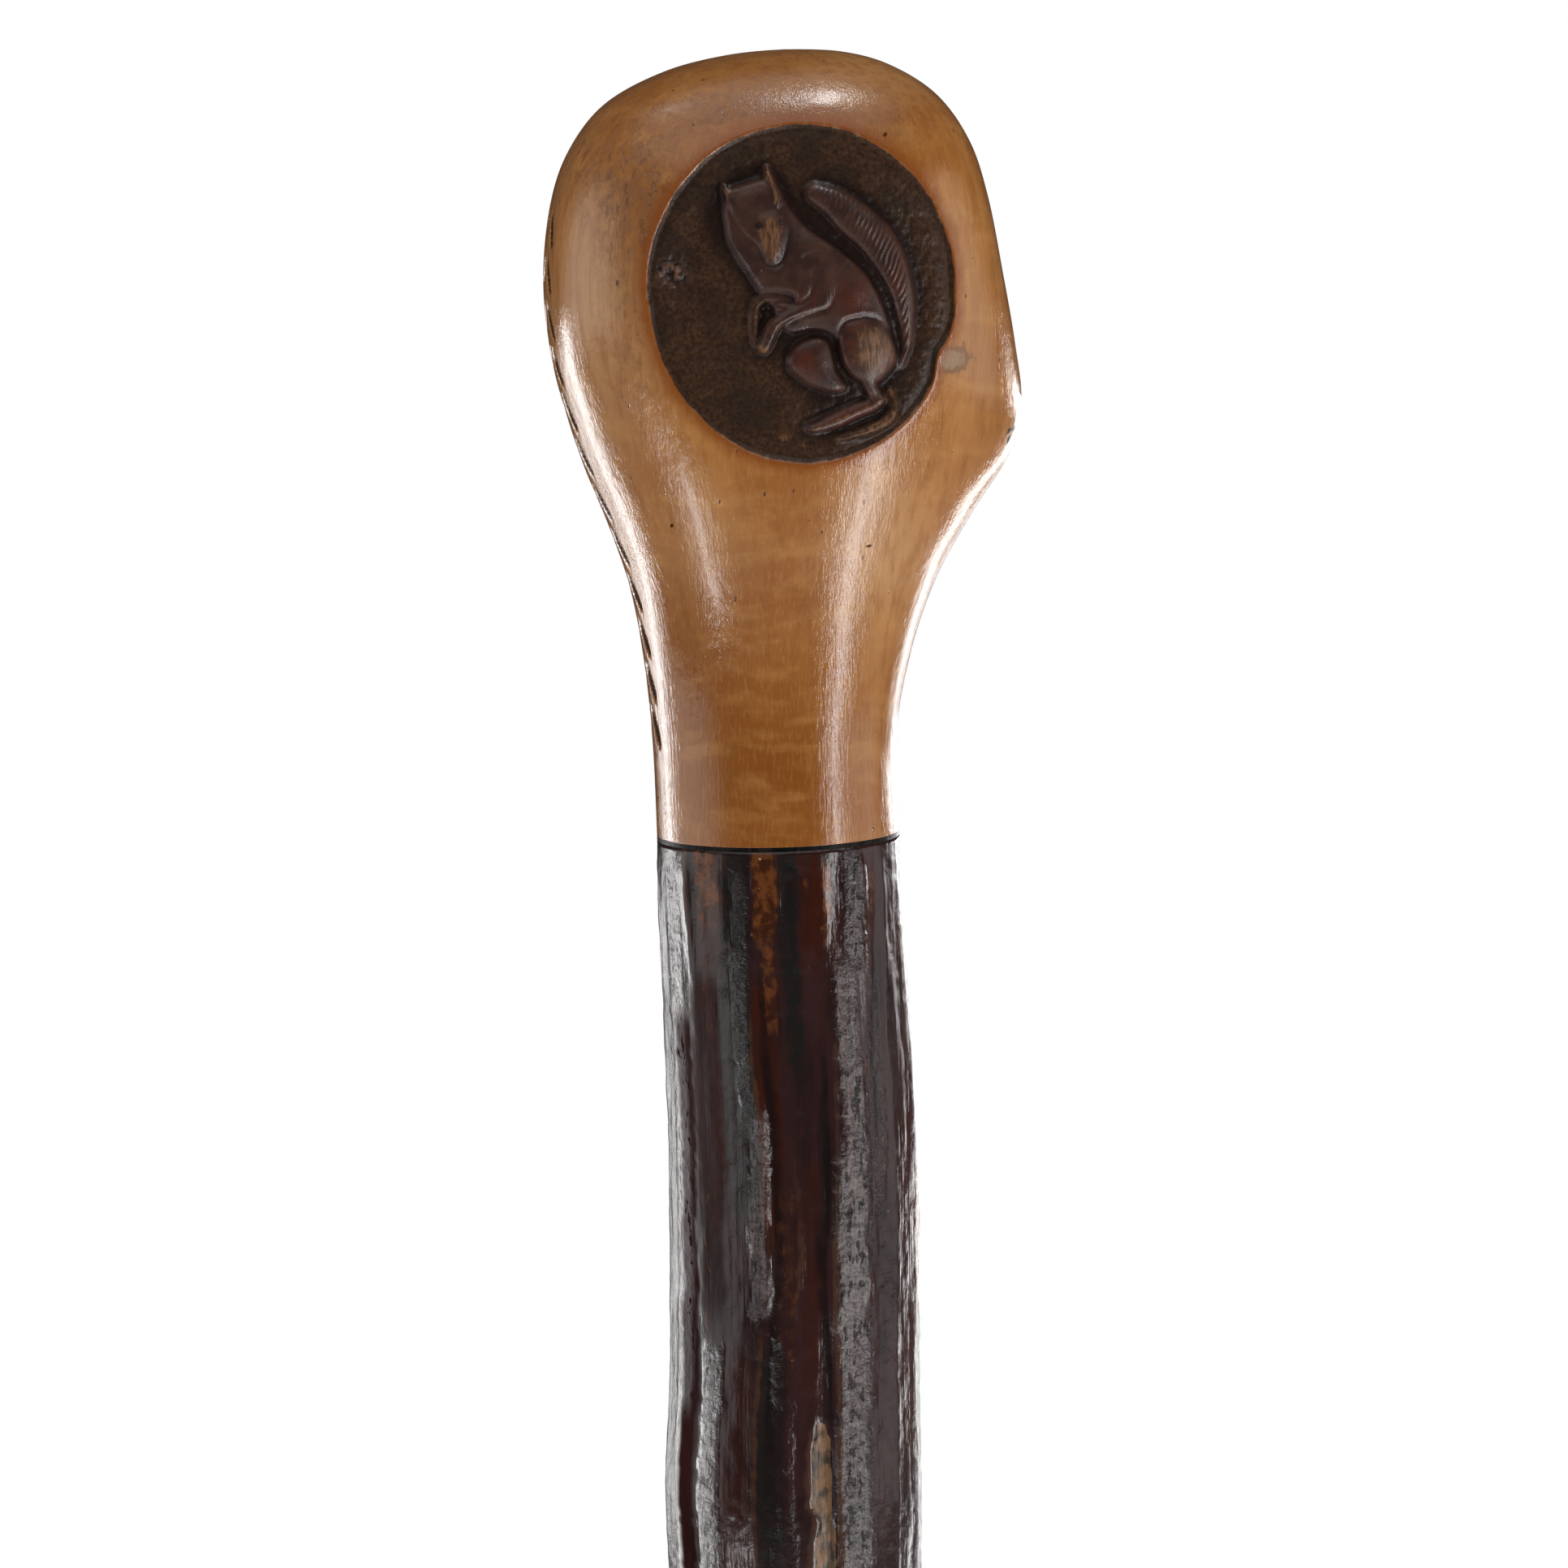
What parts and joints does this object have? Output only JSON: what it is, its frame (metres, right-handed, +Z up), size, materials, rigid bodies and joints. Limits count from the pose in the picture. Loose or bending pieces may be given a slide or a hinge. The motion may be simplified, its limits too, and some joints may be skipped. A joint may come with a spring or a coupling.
{
  "type": "walking cane",
  "caption": "Walking cane with a carved wooden knob, a sunk round relief of a squirrel, a thin black joint washer, a bark-covered stick and a brass ferrule with a steel tip.",
  "frame": {"origin": "middle of the steel tip's underside, where the cane stands on the ground", "axes": "+Z up along the cane's axis; the carved face looks along -Y; the knob's nose points along +X"},
  "size_m": [0.0512, 0.0358, 0.9],
  "materials": {
    "handle_wood": "honey-coloured wood under satin varnish, with the sunk roundel stained dark brown and rubbed pale on its high spots",
    "spacer": "black hard-rubber washer",
    "stud_steel": "plain threaded rod",
    "stick_bark": "ridged dark plum-brown bark under gloss varnish, rubbed to bare wood in places",
    "ferrule_brass": "dulled and scratched brass",
    "tip_steel": "worn steel",
    "nail_brass": "brass filed flush"
  },
  "bodies": {
    "root": {"handle": "handle_wood", "handle_spacer": "spacer", "joint_stud": "stud_steel", "stick": "stick_bark", "ferrule": "ferrule_brass", "ferrule_tip": "tip_steel", "ferrule_nail_right": "nail_brass", "ferrule_nail_left": "nail_brass"}
  },
  "joints": []
}
